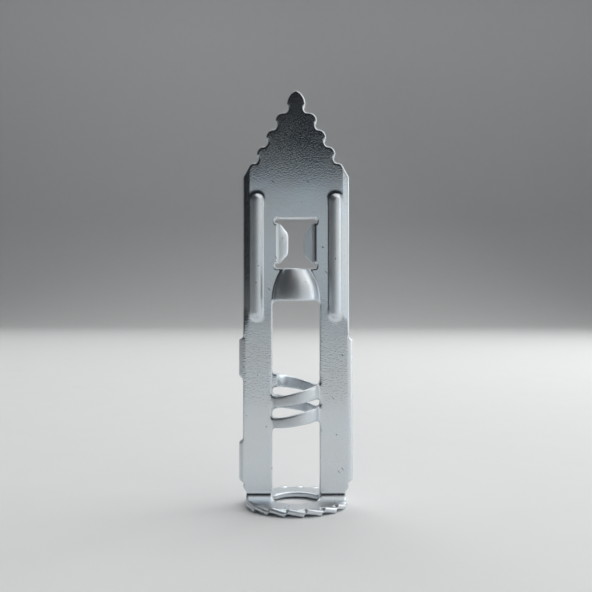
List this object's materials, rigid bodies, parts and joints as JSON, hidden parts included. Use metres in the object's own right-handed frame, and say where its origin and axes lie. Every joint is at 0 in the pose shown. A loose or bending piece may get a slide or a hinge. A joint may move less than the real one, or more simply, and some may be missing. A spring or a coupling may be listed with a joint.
{
  "type": "metal drywall anchor",
  "caption": "Folded sheet-steel drywall anchor with a saw-edged tip, back-to-back claws, pressed thread bars, stiffening ribs and a toothed flange around the screw hole.",
  "frame": {"origin": "middle of the screw hole on the underside of the flange, the side that faces the room", "axes": "+Z along the screw hole towards the tip, -Y out of the front claw, +X towards the folded side"},
  "size_m": [0.012, 0.0112, 0.0438],
  "materials": {
    "zinc_steel": "bright zinc-plated sheet steel, satin"
  },
  "bodies": {
    "root": {"anchor_body": "zinc_steel"}
  },
  "joints": []
}
